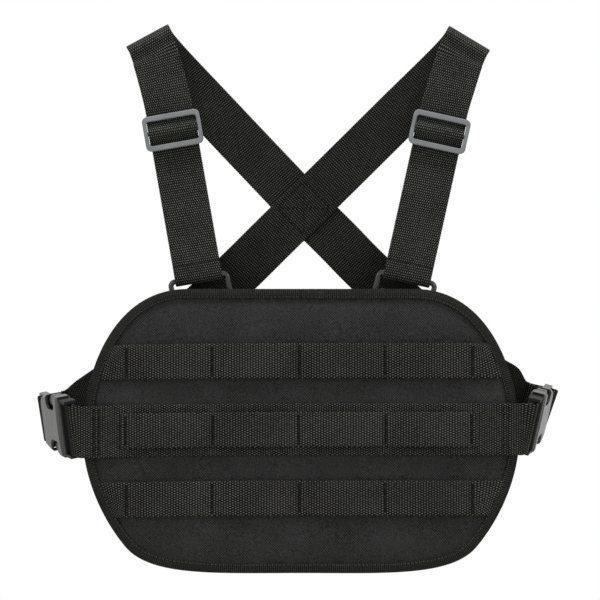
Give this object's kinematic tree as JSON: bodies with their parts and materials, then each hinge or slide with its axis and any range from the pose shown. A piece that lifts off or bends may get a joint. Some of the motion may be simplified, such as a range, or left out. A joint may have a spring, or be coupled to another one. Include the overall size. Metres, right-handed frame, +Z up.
{
  "type": "padded chest rig harness",
  "caption": "Padded chest rig: bound panel with looped attachment webbing, chest belt ending in side-release buckles, shoulder straps on rings and glides that cross behind.",
  "frame": {"origin": "centre of the panel's flat rear face, level with the origin of its outline", "axes": "+Y points from the panel's rear face towards the wearer, +Z up, +X to the right as seen from the front"},
  "size_m": [0.3887, 0.0799, 0.4062],
  "materials": {
    "canvas": "plain woven canvas, matt black",
    "lining": "plain lining cloth, matt black",
    "foam": "closed-cell foam sheet",
    "binding": "ribbed grosgrain tape, black",
    "webbing": "coarse woven webbing, black",
    "acetal": "moulded acetal, grey with a satin sheen",
    "glide": "moulded nylon, dark grey satin",
    "enamel": "steel wire with glossy black enamel"
  },
  "bodies": {
    "harness": {"front_shell": "canvas", "foam_pad": "foam", "rear_lining": "lining", "edge_binding": "binding", "webbing_row_top": "webbing", "webbing_row_middle": "webbing", "webbing_row_bottom": "webbing", "chest_belt": "webbing", "left_buckle_male": "acetal", "left_ring_keeper": "webbing", "left_shoulder_strap": "webbing", "left_strap_return": "webbing", "right_buckle_male": "acetal", "right_ring_keeper": "webbing", "right_shoulder_strap": "webbing", "right_strap_return": "webbing"},
    "left_ring_set": {"left_ring": "enamel", "left_strap_ring_loop": "webbing"},
    "left_glide_set": {"left_tri_glide": "glide", "left_tri_glide_webbing": "webbing"},
    "left_free_half": {"left_buckle_female": "acetal", "left_rear_strap_loop": "webbing"},
    "left_prong_upper_spring": {"left_prong_upper": "acetal"},
    "left_prong_lower_spring": {"left_prong_lower": "acetal"},
    "right_ring_set": {"right_ring": "enamel", "right_strap_ring_loop": "webbing"},
    "right_glide_set": {"right_tri_glide": "glide", "right_tri_glide_webbing": "webbing"},
    "right_free_half": {"right_buckle_female": "acetal", "right_rear_strap_loop": "webbing"},
    "right_prong_upper_spring": {"right_prong_upper": "acetal"},
    "right_prong_lower_spring": {"right_prong_lower": "acetal"}
  },
  "joints": [
    {"name": "left_ring_swing", "type": "hinge", "parent": "harness", "child": "left_ring_set", "pos_m": [-0.0732, 0.005, 0.09861], "axis": [0.985, 0, 0.1728], "range_deg": [-15, 10]},
    {"name": "left_glide_slide", "type": "slide", "parent": "harness", "child": "left_glide_set", "axis": [0.1728, 0, -0.985], "range_m": [0, 0.075], "deforming": ["left_strap_return"]},
    {"name": "left_buckle_release", "type": "slide", "parent": "harness", "child": "left_free_half", "axis": [-0.3461, 0.9287, 0.1332], "range_m": [0, 0.03], "deforming": ["left_prong_upper", "left_prong_lower"]},
    {"name": "left_upper_prong_squeeze", "type": "hinge", "parent": "harness", "child": "left_prong_upper_spring", "pos_m": [-0.1757, 0.00969, 0.0198], "axis": [-0.9294, -0.32, -0.1839], "range_deg": [0, 10], "stiffness_Nm_per_rad": 0.05},
    {"name": "left_lower_prong_squeeze", "type": "hinge", "parent": "harness", "child": "left_prong_lower_spring", "pos_m": [-0.17129, 0.01614, -0.0137], "axis": [0.9294, 0.32, 0.1839], "range_deg": [0, 10], "stiffness_Nm_per_rad": 0.05},
    {"name": "right_ring_swing", "type": "hinge", "parent": "harness", "child": "right_ring_set", "pos_m": [0.07528, 0.005, 0.09868], "axis": [0.9763, 0, -0.2164], "range_deg": [-15, 10]},
    {"name": "right_glide_slide", "type": "slide", "parent": "harness", "child": "right_glide_set", "axis": [-0.2164, 0, -0.9763], "range_m": [0, 0.075], "deforming": ["right_strap_return"]},
    {"name": "right_buckle_release", "type": "slide", "parent": "harness", "child": "right_free_half", "axis": [0.2024, 0.9601, 0.193], "range_m": [0, 0.03], "deforming": ["right_prong_upper", "right_prong_lower"]},
    {"name": "right_upper_prong_squeeze", "type": "hinge", "parent": "harness", "child": "right_prong_upper_spring", "pos_m": [0.17483, 0.00926, 0.02252], "axis": [-0.9564, 0.1515, 0.2496], "range_deg": [0, 10], "stiffness_Nm_per_rad": 0.05},
    {"name": "right_lower_prong_squeeze", "type": "hinge", "parent": "harness", "child": "right_prong_lower_spring", "pos_m": [0.16759, 0.01735, -0.01013], "axis": [0.9564, -0.1515, -0.2496], "range_deg": [0, 10], "stiffness_Nm_per_rad": 0.05}
  ]
}
